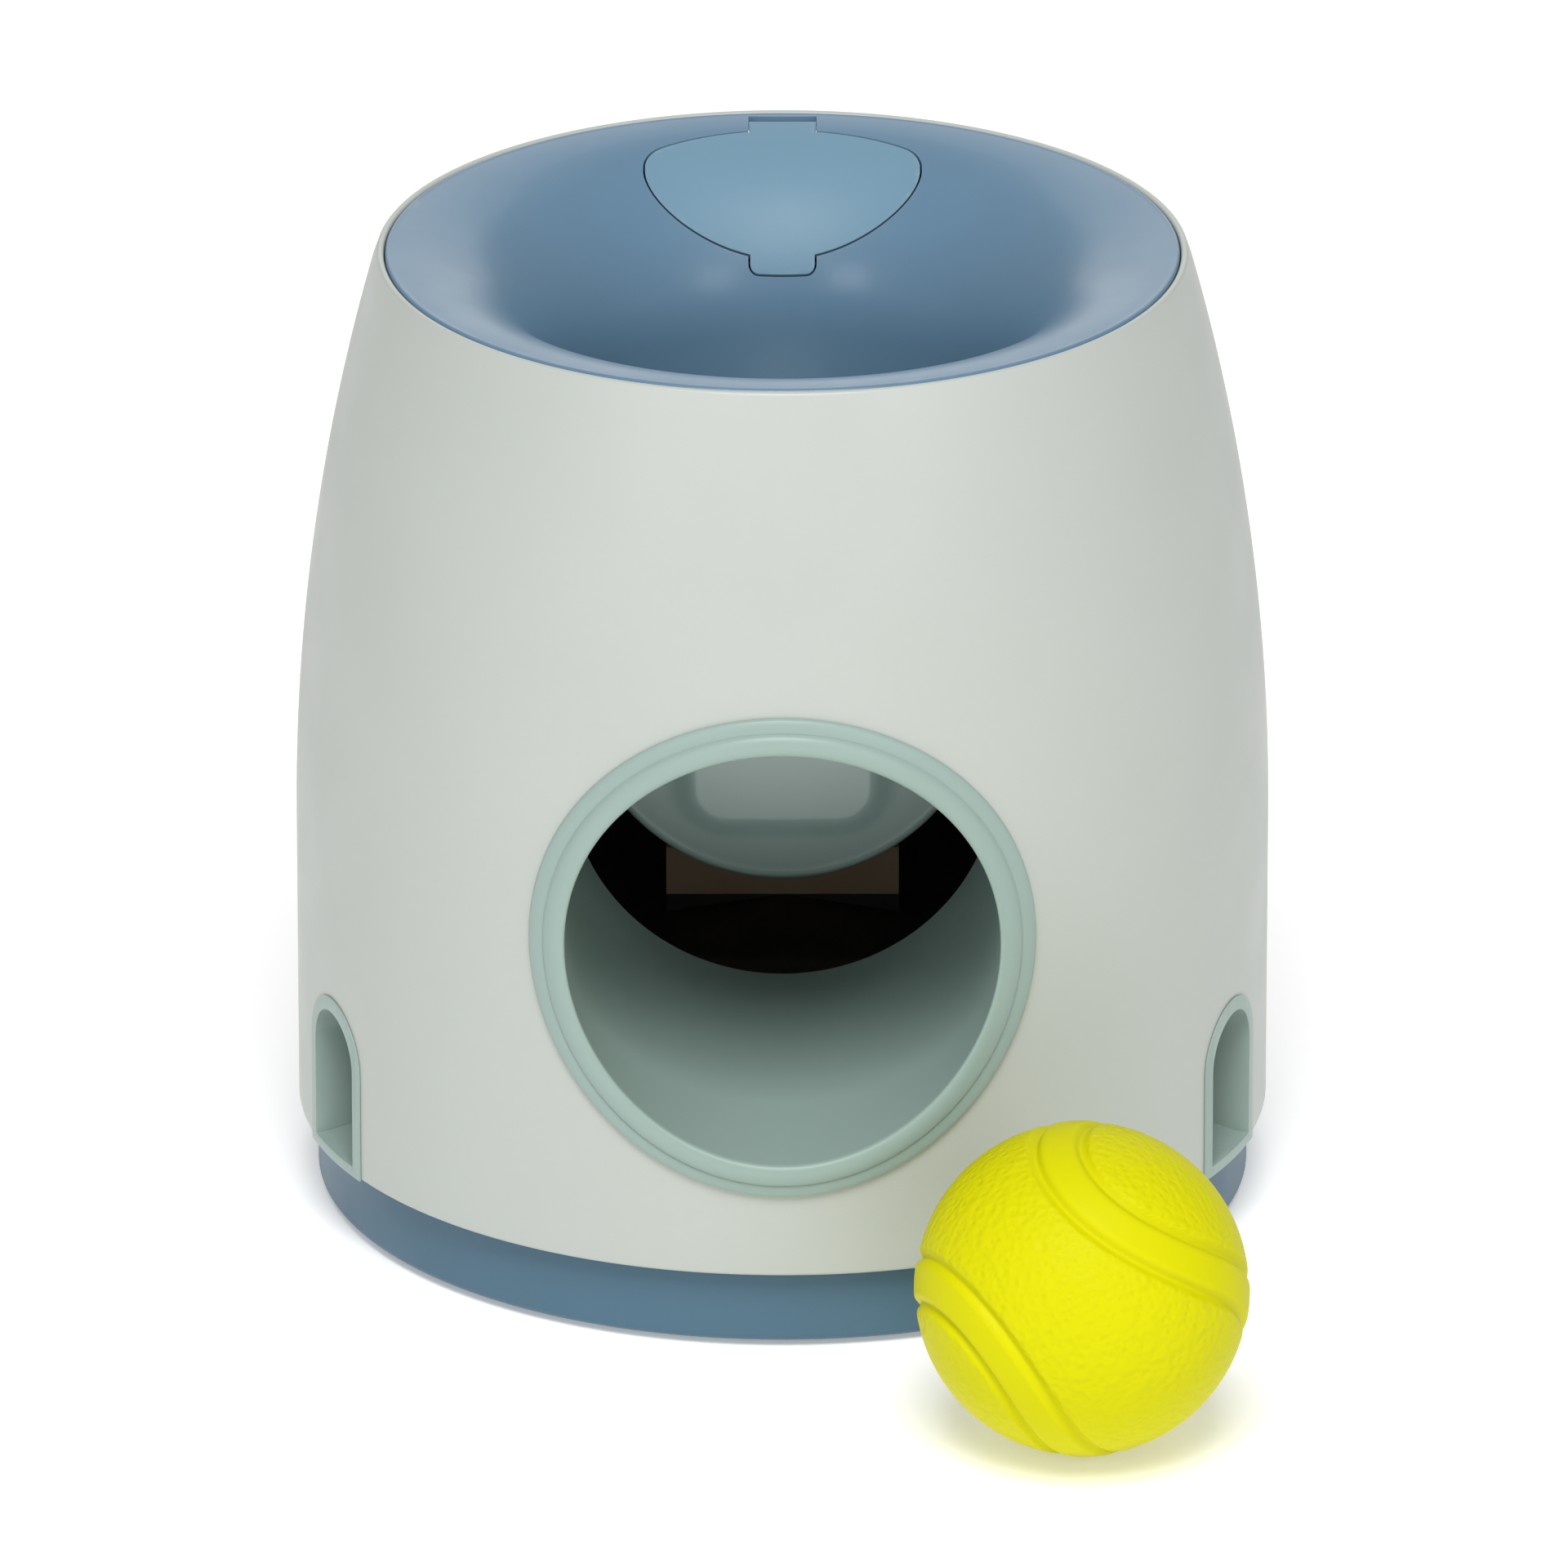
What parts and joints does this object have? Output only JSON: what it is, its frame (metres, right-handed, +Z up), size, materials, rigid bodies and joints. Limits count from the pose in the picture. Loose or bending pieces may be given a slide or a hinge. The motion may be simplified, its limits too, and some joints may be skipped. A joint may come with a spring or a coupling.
{
  "type": "dog puzzle feeder",
  "caption": "Barrel-shaped dog treat dispenser: a ball dropped in the top bowl tips a paddle that meters treats to side outlets and rolls out of the front port.",
  "frame": {"origin": "centre of the rubber pad's underside, on the floor and on the feeder's vertical axis", "axes": "+Z up, -Y towards the front where the ball comes out, +X to the right of someone facing the front"},
  "size_m": [0.19, 0.264, 0.192],
  "materials": {
    "shell_plastic": "satin moulded plastic, pale grey-green",
    "blue_plastic": "smooth satin-gloss moulded plastic",
    "lid_plastic": "satin moulded plastic, lighter blue",
    "base_plastic": "satin moulded plastic",
    "sage_plastic": "satin moulded plastic, sage green",
    "dark_plastic": "plain black-brown moulded plastic of the inner mechanism",
    "brown_plastic": "brown moulded plastic",
    "steel": "drawn steel rod and wire",
    "bronze": "sintered bronze",
    "dark_rubber": "matte moulded rubber",
    "ball_rubber": "stippled bright yellow rubber"
  },
  "bodies": {
    "root": {"outer_shell": "shell_plastic", "top_bowl": "blue_plastic", "lid_hinge_pin": "steel", "ball_tube": "sage_plastic", "left_outlet": "sage_plastic", "right_outlet": "sage_plastic", "left_cheek": "dark_plastic", "right_cheek": "dark_plastic", "axle_bushes": "bronze", "treat_hopper": "dark_plastic", "hopper_screws": "steel", "cheek_screws": "steel", "drum_bushes": "bronze", "return_spring": "steel", "stop_bumpers": "dark_rubber", "treat_ramp": "dark_plastic", "treat_baffle": "brown_plastic", "base_pan": "base_plastic", "base_screws": "steel", "non_slip_pad": "dark_rubber"},
    "lid": {"treat_lid": "lid_plastic"},
    "paddle": {"trigger_paddle": "sage_plastic", "paddle_axle": "steel", "sector_gear": "dark_plastic", "axle_clips": "steel"},
    "drum": {"metering_drum": "dark_plastic", "drum_shaft": "steel", "drum_pinion": "dark_plastic", "shaft_clips": "steel"},
    "ball": {"ball": "ball_rubber"}
  },
  "joints": [
    {"name": "lid_hinge", "type": "hinge", "parent": "root", "child": "lid", "pos_m": [0, 0.072, 0.18934], "axis": [-1, 0, 0], "range_deg": [0, 100]},
    {"name": "paddle_pivot", "type": "hinge", "parent": "root", "child": "paddle", "pos_m": [0, 0.044, 0.101], "axis": [1, 0, 0], "range_deg": [0, 25], "stiffness_Nm_per_rad": 0.03, "springref_deg": -22.92, "deforming": ["return_spring"]},
    {"name": "drum_spin", "type": "hinge", "parent": "root", "child": "drum", "pos_m": [0, 0.06521, 0.07979], "axis": [1, 0, 0], "range_deg": [-100.5, 0.5]},
    {"name": "ball_roll", "type": "slide", "parent": "root", "child": "ball", "axis": [0.3841, -0.9233, 0], "range_m": [0, 0.15]}
  ],
  "couplings": [
    {"joint": "drum_spin", "follows": "paddle_pivot", "ratio": -4}
  ]
}
